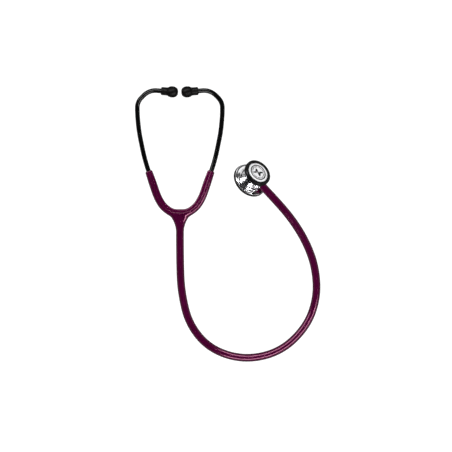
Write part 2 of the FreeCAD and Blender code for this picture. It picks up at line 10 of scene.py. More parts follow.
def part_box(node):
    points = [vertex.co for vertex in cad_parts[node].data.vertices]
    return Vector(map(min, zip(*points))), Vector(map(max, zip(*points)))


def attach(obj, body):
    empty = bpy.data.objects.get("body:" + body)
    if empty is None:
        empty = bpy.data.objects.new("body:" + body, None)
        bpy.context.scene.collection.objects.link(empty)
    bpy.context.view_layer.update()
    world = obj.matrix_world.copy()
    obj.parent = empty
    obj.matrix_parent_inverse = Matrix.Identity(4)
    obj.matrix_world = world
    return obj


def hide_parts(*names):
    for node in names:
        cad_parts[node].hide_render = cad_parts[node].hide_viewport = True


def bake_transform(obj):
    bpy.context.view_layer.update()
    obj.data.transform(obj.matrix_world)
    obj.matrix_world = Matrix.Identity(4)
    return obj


# The looks of a stethoscope lying flat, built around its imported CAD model. Metres, in the CAD's own frame;
# sizes are named in millimetres and multiplied by MM. The headset's own frame has its origin at the bottom
# of the yoke's U; the chestpiece's and the eartips' frames come from their joints.

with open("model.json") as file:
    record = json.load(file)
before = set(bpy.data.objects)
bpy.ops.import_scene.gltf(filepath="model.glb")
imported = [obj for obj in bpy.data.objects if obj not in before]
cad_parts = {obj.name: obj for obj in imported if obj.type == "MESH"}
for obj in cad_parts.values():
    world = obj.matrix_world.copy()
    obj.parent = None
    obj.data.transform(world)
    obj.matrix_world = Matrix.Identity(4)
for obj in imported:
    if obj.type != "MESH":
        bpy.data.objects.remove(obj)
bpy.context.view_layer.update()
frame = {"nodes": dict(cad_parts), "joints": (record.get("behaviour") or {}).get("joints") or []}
NODES = frame["nodes"]
JOINTS = {joint["name"]: joint for joint in frame["joints"]}
MM = 0.001

# The yoke and the ear tubes: corners of straight runs joined by tangent arcs, in the headset's frame, mm.
YOKE_CORNERS = [(9.5, -0.2), (20.5, 7.6), (27.5, 19.5), (38.2, 51.0)]
YOKE_FOOT = 23.2
LYING_HEIGHT = 4.9
HOSE_RADIUS = 4.8

# The hose's route, in the part's frame, metres; the last two points lie on the stem's axis.
HOSE_ROUTE = [
    (-0.0277, -0.0886, 0.0049), (-0.0277, -0.1234, 0.0049), (-0.0262, -0.1614, 0.0049),
    (-0.0167, -0.2014, 0.0049), (0.0093, -0.2319, 0.0049), (0.0513, -0.2449, 0.0049),
    (0.0953, -0.2349, 0.0049), (0.1273, -0.2039, 0.0049), (0.1399, -0.1679, 0.0049),
    (0.1377, -0.1322, 0.0056), (0.1269, -0.1024, 0.0100), (0.1105, -0.0756, 0.0170),
    (0.09206, -0.05370, 0.02245), (0.07214, -0.03263, 0.02245),
]


def head_origin():
    """The bottom of the yoke's U on the floor, in the part's frame."""
    low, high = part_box("yoke_junction")
    return Vector(((low.x + high.x) / 2, low.y + YOKE_FOOT * MM, 0))


HEAD = head_origin()


# ---- camera, floor and light ----

VIEW_CENTRE = (0.0285, -0.0813)
VIEW_WIDTH = 0.5528
LENS = 135.0
SENSOR = 36.0
VIEW_DEPTH = 20.0
FLOOR_HALF = 3.0
FLOOR_GLOW = 1.0
MIRRORED_GLOW = 0.1
WALL_GLOW = 1.0
WALL_BAND = (0.3, 0.15)

# Each light's name, place, size in metres, power in watts, whether it leaves highlights, whether it lights.
LIGHT_TARGET = (0.03, -0.08, 0.0)
LIGHTS = [
    ("Top", (0.03, -0.08, 2.1), (0.4, 0.4), 56, False, True),
    ("FarBox", (-0.44, 1.08, 1.35), (3.0, 0.42), 66, True, False),
    ("NearBox", (0.62, -1.19, 1.35), (2.5, 0.42), 55, True, False),
]


def make_camera():
    data = bpy.data.cameras.new("Camera")
    data.lens = LENS
    data.sensor_width = SENSOR
    camera = bpy.data.objects.new("Camera", data)
    camera.location = (VIEW_CENTRE[0], VIEW_CENTRE[1], VIEW_WIDTH * LENS / SENSOR)
    data.clip_end = VIEW_DEPTH
    bpy.context.scene.collection.objects.link(camera)
    bpy.context.scene.camera = camera


def add_area(name, place, size, power, mirrored, lights):
    """A soft light. One that isn't mirrored leaves no highlight; one that doesn't light leaves only that."""
    data = bpy.data.lights.new(name, "AREA")
    data.shape = "RECTANGLE"
    data.size, data.size_y = size
    data.energy = power
    light = bpy.data.objects.new(name, data)
    light.location = place
    light.rotation_mode = "QUATERNION"
    light.rotation_quaternion = (Vector(LIGHT_TARGET) - Vector(place)).to_track_quat("-Z", "Y")
    light.visible_glossy = mirrored
    light.visible_diffuse = lights
    light.visible_camera = False
    bpy.context.scene.collection.objects.link(light)


def make_lights():
    for light in LIGHTS:
        add_area(*light)
    make_world()
    bpy.context.scene.view_settings.view_transform = "Standard"


def make_world():
    """A pale backdrop for the camera, and a pale band low along the walls, which only mirrors see."""
    world = bpy.data.worlds.new("Studio")
    world.use_nodes = True
    tree = world.node_tree
    parts = tree.nodes.new("ShaderNodeSeparateXYZ")
    tree.links.new(tree.nodes.new("ShaderNodeTexCoord").outputs["Generated"], parts.inputs[0])
    band = tree.nodes.new("ShaderNodeMapRange")
    band.interpolation_type = "SMOOTHSTEP"
    top, bottom = WALL_BAND
    for socket, value in (("From Min", top), ("From Max", bottom), ("To Min", 0.0), ("To Max", WALL_GLOW)):
        band.inputs[socket].default_value = value
    tree.links.new(parts.outputs[2], band.inputs["Value"])
    ray = tree.nodes.new("ShaderNodeLightPath").outputs
    seen = tree.nodes.new("ShaderNodeMath")
    seen.operation = "MULTIPLY_ADD"
    tree.links.new(band.outputs["Result"], seen.inputs[0])
    tree.links.new(ray["Is Glossy Ray"], seen.inputs[1])
    tree.links.new(ray["Is Camera Ray"], seen.inputs[2])
    tree.nodes["Background"].inputs["Color"].default_value = (1, 1, 1, 1)
    tree.links.new(seen.outputs[0], tree.nodes["Background"].inputs["Strength"])
    bpy.context.scene.world = world


def make_floor():
    """Plain pale paper that glows to the camera like a light table, and faintly in what mirrors it."""
    mesh = bpy.data.meshes.new("Floor")
    corners = [(side * FLOOR_HALF, end * FLOOR_HALF, 0) for side, end in ((-1, -1), (1, -1), (1, 1), (-1, 1))]
    mesh.from_pydata(corners, [], [(0, 1, 2, 3)])
    floor = bpy.data.objects.new("Floor", mesh)
    surface = Surface("floor_paper", (0.14, 0.14, 0.14), 0.9)
    surface.set("Specular IOR Level", 0.0)
    surface.set("Emission Color", (1, 1, 1, 1))
    ray = surface.node("ShaderNodeLightPath").outputs
    seen = surface.math("MULTIPLY", ray["Is Camera Ray"], FLOOR_GLOW)
    mirrored = surface.math("MULTIPLY", ray["Is Glossy Ray"], MIRRORED_GLOW)
    surface.link(surface.math("ADD", seen, mirrored), surface.shader.inputs["Emission Strength"])
    mesh.materials.append(surface.material)
    bpy.context.scene.collection.objects.link(floor)


# ---- materials ----

NOISE_DETAIL = 3.0
NOISE_ROUGHNESS = 0.55
# How softly the painted shade in a groove fades out at its edge, in metres.
SHADE_RING_EDGE = 0.00008


class Surface:
    """A Principled material with helpers for procedural colour, roughness and bump."""

    def __init__(self, name, colour, roughness, metallic=0.0):
        self.material = bpy.data.materials.new(name)
        self.material.use_nodes = True
        self.tree = self.material.node_tree
        self.shader = self.tree.nodes["Principled BSDF"]
        self.set("Base Color", (*colour, 1))
        self.set("Roughness", roughness)
        self.set("Metallic", metallic)

    def set(self, socket, value):
        self.shader.inputs[socket].default_value = value

    def node(self, kind, **values):
        made = self.tree.nodes.new(kind)
        for key, value in values.items():
            setattr(made, key, value)
        return made

    def link(self, source, target):
        self.tree.links.new(source, target)

    def math(self, operation, first, second=None):
        """The result of a math node; each input is a number or another node's socket."""
        made = self.node("ShaderNodeMath", operation=operation)
        self.feed(made.inputs[0], first)
        if second is not None:
            self.feed(made.inputs[1], second)
        return made.outputs[0]

    def feed(self, socket, value):
        if isinstance(value, (int, float)):
            socket.default_value = value
        else:
            self.link(value, socket)

    def place(self, kind):
        """Where a texture is read: the object's own coordinates, or its distance from Z and its height."""
        if not hasattr(self, "places"):
            self.places = {}
        if kind in self.places:
            return self.places[kind]
        own = self.node("ShaderNodeTexCoord").outputs["Object"]
        if kind == "turned":
            parts = self.node("ShaderNodeSeparateXYZ")
            self.link(own, parts.inputs[0])
            square = self.math("ADD", self.math("MULTIPLY", parts.outputs[0], parts.outputs[0]),
                               self.math("MULTIPLY", parts.outputs[1], parts.outputs[1]))
            joined = self.node("ShaderNodeCombineXYZ")
            self.link(self.math("SQRT", square), joined.inputs[0])
            self.link(parts.outputs[2], joined.inputs[1])
            own = joined.outputs[0]
        self.places[kind] = own
        return own

    def noise(self, kind, scale):
        made = self.node("ShaderNodeTexNoise")
        made.inputs["Scale"].default_value = scale
        made.inputs["Detail"].default_value = NOISE_DETAIL
        made.inputs["Roughness"].default_value = NOISE_ROUGHNESS
        self.link(self.place(kind), made.inputs["Vector"])
        return made.outputs["Fac"]

    def span(self, value, low, high, start=0.3, stop=0.7):
        made = self.node("ShaderNodeMapRange")
        self.link(value, made.inputs["Value"])
        made.inputs["From Min"].default_value = start
        made.inputs["From Max"].default_value = stop
        made.inputs["To Min"].default_value = low
        made.inputs["To Max"].default_value = high
        return made.outputs["Result"]

    def vary_colour(self, kind, scale, low, high):
        mix = self.node("ShaderNodeMix", data_type="RGBA")
        self.link(self.span(self.noise(kind, scale), 0, 1), mix.inputs["Factor"])
        mix.inputs[6].default_value = (*low, 1)
        mix.inputs[7].default_value = (*high, 1)
        self.link(mix.outputs[2], self.shader.inputs["Base Color"])

    def paint_shade_ring(self, inner, outer, colour):
        """Paints shade: turns the colour dark between two distances from the object's Z axis."""
        parts = self.node("ShaderNodeSeparateXYZ")
        self.link(self.place("turned"), parts.inputs[0])
        far = self.math("ABSOLUTE", self.math("SUBTRACT", parts.outputs[0], (inner + outer) / 2))
        half = (outer - inner) / 2
        mix = self.node("ShaderNodeMix", data_type="RGBA")
        self.link(self.span(far, 1, 0, half - SHADE_RING_EDGE, half), mix.inputs["Factor"])
        target = self.shader.inputs["Base Color"]
        self.link(target.links[0].from_socket, mix.inputs[6])
        mix.inputs[7].default_value = (*colour, 1)
        self.link(mix.outputs[2], target)

    def vary_roughness(self, kind, scale, low, high):
        self.link(self.span(self.noise(kind, scale), low, high), self.shader.inputs["Roughness"])

    def bump(self, *layers):
        """Layers of (place, scale, depth in metres)."""
        normal = None
        for kind, scale, depth in layers:
            made = self.node("ShaderNodeBump")
            made.inputs["Strength"].default_value = 1.0
            made.inputs["Distance"].default_value = depth
            self.link(self.noise(kind, scale), made.inputs["Height"])
            if normal is not None:
                self.link(normal, made.inputs["Normal"])
            normal = made.outputs["Normal"]
        self.link(normal, self.shader.inputs["Normal"])


def tubing_material():
    surface = Surface("plum_pvc", (0.053, 0.0009, 0.023), 0.12)
    surface.vary_colour("object", 55, (0.045, 0.0007, 0.019), (0.061, 0.0012, 0.027))
    surface.vary_roughness("object", 420, 0.09, 0.15)
    surface.bump(("object", 240, 0.000016), ("object", 2400, 0.000003))
    surface.set("Specular IOR Level", 0.6)
    surface.set("Specular Tint", (1.0, 0.4, 0.62, 1))
    return surface.material


def ear_tube_material():
    surface = Surface("black_anodised", (0.002, 0.002, 0.0022), 0.11)
    surface.vary_colour("object", 90, (0.0012, 0.0012, 0.0013), (0.0035, 0.0035, 0.0037))
    surface.vary_roughness("object", 700, 0.08, 0.14)
    surface.set("Specular IOR Level", 0.2)
    surface.bump(("object", 3000, 0.000002))
    return surface.material


def rubber_material(name, roughness):
    surface = Surface(name, (0.002, 0.0018, 0.0018), roughness)
    surface.vary_colour("object", 120, (0.0013, 0.0011, 0.0011), (0.0035, 0.003, 0.003))
    surface.set("Specular IOR Level", 0.08)
    surface.vary_roughness("object", 900, roughness - 0.08, roughness + 0.1)
    surface.bump(("object", 2600, 0.00001))
    return surface.material


def steel_material(name, shade_grooves=()):
    """Turned and polished steel, with shade painted dark into its grooves, each two distances from the axis
    in metres.
    """
    surface = Surface(name, (0.92, 0.92, 0.93), 0.14, metallic=1.0)
    surface.vary_colour("turned", 900, (0.88, 0.88, 0.9), (0.97, 0.97, 0.98))
    surface.vary_roughness("turned", 1500, 0.1, 0.18)
    surface.bump(("turned", 1600, 0.000002))
    for inner, outer in shade_grooves:
        # Painted shade: each groove's colour turned near black.
        surface.paint_shade_ring(inner, outer, (0.004, 0.004, 0.0045))
    return surface.material


def spring_material():
    surface = Surface("spring_steel", (0.45, 0.45, 0.47), 0.3, metallic=1.0)
    surface.vary_roughness("object", 1500, 0.22, 0.42)
    surface.bump(("object", 3000, 0.000004))
    return surface.material


def rim_material():
    surface = Surface("rim_black", (0.002, 0.002, 0.0022), 0.2)
    surface.vary_colour("object", 300, (0.0015, 0.0015, 0.0016), (0.0035, 0.0035, 0.0037))
    surface.vary_roughness("object", 900, 0.15, 0.24)
    surface.set("Specular IOR Level", 0.15)
    surface.bump(("object", 2200, 0.000003))
    return surface.material


def disc_material():
    surface = Surface("diaphragm_white", (0.9, 0.9, 0.91), 0.3)
    surface.vary_colour("object", 160, (0.86, 0.86, 0.87), (0.93, 0.93, 0.94))
    surface.vary_roughness("turned", 2600, 0.22, 0.4)
    surface.bump(("turned", 1800, 0.000008))
    return surface.material


def print_material():
    surface = Surface("grey_print", (0.008, 0.008, 0.009), 0.45)
    surface.vary_colour("object", 900, (0.005, 0.005, 0.0055), (0.013, 0.013, 0.014))
    surface.set("Specular IOR Level", 0.3)
    surface.bump(("object", 5000, 0.000004))
    return surface.material


# ---- shapes ----

TINY = 1e-6
STRAIGHT_TURN = 0.05
CORNER_SHARE = 0.45
CORNER_STEPS = 4
EDGE_RADIUS = 0.25
LATHE_SEGMENTS = 144
FLATS_WEIGHT = 80
ARC_SHARE = 0.46
PATH_STEP = 0.6


def add_piece(name, vertices, faces, material, matrix=None):
    """A smooth-shaded mesh from points in millimetres in the frame of matrix, which is in metres."""
    mesh = bpy.data.meshes.new(name)
    mesh.from_pydata([tuple(MM * x for x in point) for point in vertices], [], faces)
    mesh.validate()
    mesh.update()
    mesh.materials.append(material)
    mesh.polygons.foreach_set("use_smooth", [True] * len(mesh.polygons))
    piece = bpy.data.objects.new(name, mesh)
    bpy.context.scene.collection.objects.link(piece)
    if matrix is not None:
        piece.matrix_world = matrix
    return piece


def rounded_outline(points, radius):
    """Each corner of a closed outline of (radius, height) replaced by an arc, as large as its sides allow."""
    made = []
    count = len(points)
    for index, corner in enumerate(points):
        corner = Vector(corner)
        before, after = Vector(points[index - 1]), Vector(points[(index + 1) % count])
        back, ahead = before - corner, after - corner
        turn = math.pi - back.angle(ahead)
        if corner.x < TINY or turn < STRAIGHT_TURN:
            made.append(tuple(corner))
            continue
        cut = min(radius * math.tan(turn / 2), CORNER_SHARE * back.length, CORNER_SHARE * ahead.length)
        back.normalize()
        ahead.normalize()
        start, end = corner + back * cut, corner + ahead * cut
        for step in range(CORNER_STEPS + 1):
            share = step / CORNER_STEPS
            first = start.lerp(corner, share)
            second = corner.lerp(end, share)
            made.append(tuple(first.lerp(second, share)))
    return made


def lathe(name, outline, material, matrix, radius=EDGE_RADIUS, segments=LATHE_SEGMENTS):
    """A closed outline of (radius, height) turned about the Z of matrix, with rounded corners."""
    outline = rounded_outline(outline, radius)
    vertices, rings = [], []
    for across, height in outline:
        if across < TINY:
            rings.append([len(vertices)] * segments)
            vertices.append((0, 0, height))
            continue
        rings.append(list(range(len(vertices), len(vertices) + segments)))
        for number in range(segments):
            angle = 2 * math.pi * number / segments
            vertices.append((across * math.cos(angle), across * math.sin(angle), height))
    faces = []
    for lower, upper in zip(rings, rings[1:] + rings[:1]):
        for number in range(segments):
            following = (number + 1) % segments
            corners = [lower[number], lower[following], upper[following], upper[number]]
            face = list(dict.fromkeys(corners))
            if len(face) > 2:
                faces.append(face)
    piece = add_piece(name, vertices, faces, material, matrix)
    fix_normals(piece)
    piece.modifiers.new("Flats", "WEIGHTED_NORMAL").weight = FLATS_WEIGHT
    return piece


def fix_normals(piece):
    shape = bmesh.new()
    shape.from_mesh(piece.data)
    bmesh.ops.recalc_face_normals(shape, faces=shape.faces)
    shape.to_mesh(piece.data)
    shape.free()


def rounded_path(corners):
    """Points about PATH_STEP apart along straight runs joined by tangent arcs, in millimetres."""
    corners = [Vector(corner) for corner in corners]
    points = [corners[0]]
    for before, corner, after in zip(corners, corners[1:], corners[2:]):
        back, ahead = before - corner, after - corner
        cut = ARC_SHARE * min(back.length, ahead.length)
        turn = math.pi - back.angle(ahead)
        back.normalize()
        ahead.normalize()
        radius = cut / math.tan(turn / 2)
        centre = corner + (back + ahead).normalized() * (radius / math.cos(turn / 2))
        start, end = corner + back * cut, corner + ahead * cut
        parts = max(2, math.ceil(radius * turn / PATH_STEP))
        for number in range(parts + 1):
            angle = turn * number / parts
            first = math.sin(turn - angle) / math.sin(turn)
            second = math.sin(angle) / math.sin(turn)
            points.append(centre + (start - centre) * first + (end - centre) * second)
    points.append(corners[-1])
    return divided(points)


def divided(points):
    """Adds points on the longer stretches, so that none is longer than PATH_STEP, and drops repeated ones."""
    made = [points[0]]
    for start, end in zip(points, points[1:]):
        if (end - start).length < TINY:
            continue
        parts = max(1, math.ceil((end - start).length / PATH_STEP))
        made += [start.lerp(end, number / parts) for number in range(1, parts + 1)]
    return made


# ---- yoke skin: a distance field over the headset's frame, turned into a surface ----

GRID = 0.34
SKIN_WIDE = 44.0
SKIN_TOP = 53.0
SKIN_DEEP = 5.6
SKIN_PAST_MIDDLE = 2.0
SKIN_MARGIN = 1.0
SKIN_OVER_HOSE = 0.02
SOUND_LOBE = (-0.62, 4.28)
BAND_LOBE = (2.75, 2.15, 3.5, 1.7)
GROOVE = (0.95, 4.15, 0.8)
ARM_TAPER = 14.0
ARM_END_SCALE = 0.9
WEB_SPREAD = 6.9
WEB_RUN = 19.5
WEB_LIMIT = 1.25
WEB_PAST_GROOVE = 0.9
FOOT_TUCK = 1.6
FOOT_TAPER = 0.12
FOOT_TAPER_RUN = 2.0
LOBE_BLEND = 0.5
GROOVE_BLEND = 0.25
ARM_END_BLEND = 1.2
WEB_EDGE_BLEND = 0.6
WEB_BLEND = 1.8


def smooth_least(first, second, width):
    """The lesser of two fields, rounded off where they are within about width of each other."""
    near = np.clip(0.5 + 0.5 * (second - first) / width, 0, 1)
    return second * (1 - near) + first * near - width * near * (1 - near)


def smooth_most(first, second, width):
    """The greater of two fields, rounded off in the same way."""
    return -smooth_least(-first, -second, width)


def path_field(across, up, path):
    """Each grid point's signed distance from the path, its inner side positive, and how far along it lies."""
    path = np.array([(point.x, point.y) for point in path])
    best = np.full(across.shape, 1e9)
    side = np.zeros_like(across)
    along = np.zeros_like(across)
    run = 0.0
    for start, end in zip(path, path[1:]):
        span = end - start
        length = np.hypot(*span)
        unit = span / length
        dx, dy = across - start[0], up - start[1]
        share = np.clip(dx * unit[0] + dy * unit[1], 0, length)
        far = np.hypot(dx - share * unit[0], dy - share * unit[1])
        nearer = far < best
        best = np.where(nearer, far, best)
        sign = np.sign(unit[0] * dy - unit[1] * dx)
        side = np.where(nearer, sign * far, side)
        along = np.where(nearer, run + dx * unit[0] + dy * unit[1], along)
        run += length
    return side, along, run


def section_field(side, height, scale):
    """The arm's section: a round sound tube outside, a flatter band inside, and a groove between them."""
    side = side / scale
    height = np.abs(height) / scale
    tube = np.hypot(side - SOUND_LOBE[0], height) - SOUND_LOBE[1]
    centre, half, rise, soft = BAND_LOBE
    out = np.maximum(np.abs(side - centre) - (half - soft), 0)
    lift = np.maximum(height - (rise - soft), 0)
    band = np.hypot(out, lift) - soft
    place, level, radius = GROOVE
    groove = np.hypot(side - place, height - level) - radius
    both = smooth_least(tube, band, LOBE_BLEND)
    return smooth_most(both, -groove, GROOVE_BLEND) * scale


def skin_field():
    """The distance field of the yoke's right half and its grid's axes."""
    xs = np.arange(-SKIN_PAST_MIDDLE, SKIN_WIDE, GRID)
    ys = np.arange(-YOKE_FOOT - FOOT_TUCK - SKIN_MARGIN, SKIN_TOP + SKIN_MARGIN, GRID)
    zs = np.arange(-SKIN_DEEP, SKIN_DEEP + GRID, GRID)
    corners = [(-across, up, 0) for across, up in reversed(YOKE_CORNERS[:2])]
    path = rounded_path(corners + [(across, up, 0) for across, up in YOKE_CORNERS])
    flat_x, flat_y = np.meshgrid(xs, ys, indexing="ij")
    side, along, length = path_field(flat_x, flat_y, path)
    scale = 1 - (1 - ARM_END_SCALE) * np.clip((along - length + ARM_TAPER) / ARM_TAPER, 0, 1)
    side, along, scale = side[:, :, None], along[:, :, None], scale[:, :, None]
    x, y, z = flat_x[:, :, None], flat_y[:, :, None], zs[None, None, :]
    arm = section_field(side, z, scale)
    arm = smooth_most(arm, along - length, ARM_END_BLEND)
    rise = np.clip((y + YOKE_FOOT) / WEB_RUN, 0, WEB_LIMIT)
    foot = HOSE_RADIUS + SKIN_OVER_HOSE - FOOT_TAPER * np.clip(-YOKE_FOOT - y, 0, FOOT_TAPER_RUN)
    wide = foot + WEB_SPREAD * rise ** 2
    web = (np.hypot(x / wide, z / foot) - 1) * HOSE_RADIUS
    web = smooth_most(web, side - GROOVE[0] + WEB_PAST_GROOVE, WEB_EDGE_BLEND)
    field = smooth_least(arm, web, WEB_BLEND)
    return np.maximum(field, -YOKE_FOOT - FOOT_TUCK - y), (xs, ys, zs)


def surface_of(field, axes):
    """The field's zero surface as quads: one vertex in each cell that it crosses."""
    inside = field < 0
    shape = np.array(field.shape) - 1
    total = np.zeros((*shape, 3))
    count = np.zeros(shape)
    corners = [(i, j, k) for i in (0, 1) for j in (0, 1) for k in (0, 1)]
    for first in corners:
        for axis in range(3):
            if first[axis]:
                continue
            second = list(first)
            second[axis] = 1
            a = field[tuple(slice(first[n], first[n] + shape[n]) for n in range(3))]
            b = field[tuple(slice(second[n], second[n] + shape[n]) for n in range(3))]
            crossed = (a < 0) != (b < 0)
            share = np.where(crossed, a / np.where(crossed, a - b, 1), 0)
            for n in range(3):
                total[..., n] += np.where(crossed, first[n] + (share if n == axis else 0), 0)
            count += crossed
    used = count > 0
    number = np.full(shape, -1)
    number[used] = np.arange(used.sum())
    cells = np.argwhere(used)
    points = cells + total[used] / count[used][:, None]
    spacing = np.array([axis[1] - axis[0] for axis in axes])
    points = points * spacing + np.array([axis[0] for axis in axes])
    return points, crossing_quads(inside, number)


def crossing_quads(inside, number):
    """A quad round each grid edge that the surface crosses, from the four cells about it."""
    quads = []
    for axis in range(3):
        u, v = (axis + 1) % 3, (axis + 2) % 3
        low = [slice(1, -1)] * 3
        high = [slice(1, -1)] * 3
        low[axis], high[axis] = slice(0, -1), slice(1, None)
        before, after = inside[tuple(low)], inside[tuple(high)]
        for rising in (True, False):
            found = np.argwhere((before & ~after) if rising else (~before & after))
            found[:, u] += 1
            found[:, v] += 1
            ring = []
            for du, dv in ((-1, -1), (0, -1), (0, 0), (-1, 0)):
                cell = found.copy()
                cell[:, u] += du
                cell[:, v] += dv
                ring.append(number[tuple(cell.T)])
            ring = np.stack(ring if rising else ring[::-1], axis=1)
            quads.append(ring)
    return np.concatenate(quads)


def make_skin(material):
    """Both halves of the yoke's moulding."""
    field, axes = skin_field()
    points, quads = surface_of(field, axes)
    home = Matrix.Translation(HEAD + Vector((0, 0, LYING_HEIGHT * MM)))
    for side, word in ((-1, "left"), (1, "right")):
        skin = add_piece(word + "_yoke_skin", points, quads.tolist(), material)
        skin.data.transform(Matrix.Diagonal((side, 1, 1, 1)))
        shape = bmesh.new()
        shape.from_mesh(skin.data)
        bmesh.ops.bisect_plane(
            shape, geom=[*shape.verts, *shape.edges, *shape.faces], plane_co=(0, 0, 0),
            plane_no=(-side, 0, 0), clear_outer=True)
        bmesh.ops.smooth_vert(
            shape, verts=[v for v in shape.verts if not v.is_boundary], factor=0.5, use_axis_x=True,
            use_axis_y=True, use_axis_z=True)
        bmesh.ops.recalc_face_normals(shape, faces=shape.faces)
        shape.to_mesh(skin.data)
        shape.free()
        skin.data.transform(home)
        for vertex in skin.data.vertices:
            vertex.co.z = max(vertex.co.z, 0.0)
        bend_with_arm(skin)
        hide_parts("yoke_junction", word + "_yoke_arm")


def bend_with_arm(piece):
    """Bakes the piece's placement into its mesh."""
    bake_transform(piece)


SPRING_THICK = 0.5
SPRING_TALL = 5.5
SPRING_OFFSET = 3.0
SPRING_TOP = 35.5


def make_spring_halves(material):
    """The leaf spring inside the band, in two halves."""
    path = rounded_path([(0, -0.2, 0)] + [(across, up, 0) for across, up in YOKE_CORNERS])
    path = [point for point in path if point.y <= SPRING_TOP]
    for side, word in ((-1, "left"), (1, "right")):
        vertices, faces = [], []
        for index, point in enumerate(path):
            ahead = (path[min(index + 1, len(path) - 1)] - path[max(index - 1, 0)]).normalized()
            inward = Vector((-ahead.y, ahead.x, 0))
            for out, lift in ((-1, -1), (1, -1), (1, 1), (-1, 1)):
                place = point + inward * (SPRING_OFFSET + out * SPRING_THICK / 2)
                vertices.append((side * place.x, place.y, lift * SPRING_TALL / 2))
        for index in range(len(path) - 1):
            first = 4 * index
            for number in range(4):
                following = (number + 1) % 4
                faces.append([first + number, first + following, first + 4 + following, first + 4 + number])
        last = 4 * (len(path) - 1)
        faces += [[3, 2, 1, 0], [last, last + 1, last + 2, last + 3]]
        piece = add_piece(word + "_leaf_spring", vertices, faces, material)
        fix_normals(piece)
        piece.data.polygons.foreach_set("use_smooth", [False] * len(piece.data.polygons))
        piece.data.transform(Matrix.Translation(HEAD + Vector((0, 0, LYING_HEIGHT * MM))))
        bend_with_arm(piece)
        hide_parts("headset_spring")


# ---- hose ----

def make_hose(material):
    curve = bpy.data.curves.new("hose", "CURVE")
    curve.dimensions = "3D"
    spline = curve.splines.new("NURBS")
    spline.points.add(len(HOSE_ROUTE) - 1)
    for point, place in zip(spline.points, HOSE_ROUTE):
        point.co = (*place, 1)
    spline.order_u = 3
    spline.use_endpoint_u = True
    curve.resolution_u = 24
    curve.bevel_depth = HOSE_RADIUS * MM
    curve.bevel_resolution = 14
    curve.use_fill_caps = True
    curve.materials.append(material)
    hose = bpy.data.objects.new("hose", curve)
    bpy.context.scene.collection.objects.link(hose)
    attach(hose, "headset")
    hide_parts("main_tube")


# ---- eartips ----

TIP_INSERTION = 11.8
TIP_EDGE_RADIUS = 1.6
TIP_SEGMENTS = 96
TIP_OUTLINE = [
    (4.3, 0.0), (4.75, 0.35), (4.95, 1.2), (4.9, 4.5), (4.95, 7.4), (5.3, 8.5), (6.1, 9.6), (6.6, 11.0),
    (6.83, 12.8), (6.83, 14.3), (6.55, 16.0), (5.95, 17.6), (4.95, 19.1), (3.7, 20.05), (2.6, 20.4),
    (1.75, 20.1), (1.5, 19.3), (1.5, 12.6), (3.0, 12.4), (3.0, 0.4), (3.4, 0.0),
]


def frame_of(place, forward, outward=None):
    """The matrix whose origin is place and whose Z is forward; its X is outward where that is given."""
    z = Vector(forward).normalized()
    hint = Vector(outward) if outward is not None else Vector((0, 0, 1))
    x = (hint - z * hint.dot(z)).normalized()
    turned = Matrix((x, z.cross(x), z)).transposed().to_4x4()
    return Matrix.Translation(Vector(place)) @ turned


def make_eartips(material):
    for word in ("left", "right"):
        twist = JOINTS[word + "_eartip_twist"]
        axis = Vector(twist["axis"]).normalized()
        back = Vector(twist["pos_m"]) - axis * (TIP_INSERTION * MM)
        place = frame_of(back, axis)
        tip = lathe(word + "_soft_eartip", TIP_OUTLINE, material, place, TIP_EDGE_RADIUS, TIP_SEGMENTS)
        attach(tip, word + "_tip")
        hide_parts(word + "_eartip")


# ---- chestpiece ----

CHEST_OUTLINE = [
    (0, 7.8), (13.2, 9.2), (13.2, 9.9), (15.8, 9.9), (15.8, 8.0), (14.9, 8.0), (14.9, 7.2), (14.3, 6.7),
    (12.9, 5.9), (11.9, 5.2), (11.3, 4.5), (11.2, 3.9), (11.2, 3.6), (10.6, 3.5), (10.6, 2.0), (11.2, 1.9),
    (11.2, 0.6), (10.6, 0.5), (10.6, -1.0), (11.2, -1.1), (11.2, -2.6), (11.5, -3.3), (12.1, -3.6),
    (12.1, -4.0), (12.5, -4.6), (13.2, -4.9), (13.25, -5.4), (14.2, -5.4), (14.25, -5.05), (15.0, -5.2),
    (15.3, -5.35), (15.4, -6.0), (18.9, -6.0), (18.95, -6.5), (20.1, -6.5), (20.15, -6.0), (20.6, -6.1),
    (21.05, -6.4), (21.25, -7.0), (21.25, -8.0), (20.4, -8.1), (20.4, -9.4), (18.5, -9.4), (18.5, -8.8),
    (0, -7.4),
]
ADULT_RIM = [
    (18.3, -10.6), (18.7, -11.0), (21.0, -11.0), (21.6, -10.7), (21.8, -10.1), (21.8, -8.5), (21.6, -8.15),
    (20.5, -8.15), (20.5, -10.2), (18.3, -10.2),
]
SMALL_RIM = [
    (12.95, 11.15), (13.4, 11.45), (14.9, 11.5), (16.3, 11.4), (16.95, 10.9), (17.1, 10.2), (17.1, 7.9),
    (16.85, 7.35), (16.3, 7.15), (15.1, 7.15), (15.1, 7.9), (15.9, 7.9), (15.9, 10.75), (12.95, 10.75),
]
SMALL_DISC = [(0, 10.35), (12.7, 10.3), (12.7, 10.95), (12.2, 11.08), (0, 11.1)]
ADULT_DISC = [(0, -10.7), (17.4, -10.68), (18.0, -10.5), (18.0, -9.9), (0, -9.9)]
BOSS = [(0, 4.0), (5.4, 4.0), (5.4, 12.2), (5.0, 12.9), (4.6, 13.0), (3.4, 13.0), (3.4, 12.4), (0, 12.4)]

# Where shade is painted on the body as dark colour, from one distance from its axis to another: the drum's
# grooves, then the flange's.
PAINTED_SHADE_RINGS = [(0, 11.05), (13.25, 14.2), (18.95, 20.1)]

# The height and radius of each printed face.
SMALL_FACE = (11.1, 12.7)
LARGE_FACE = (-10.7, 18.0)


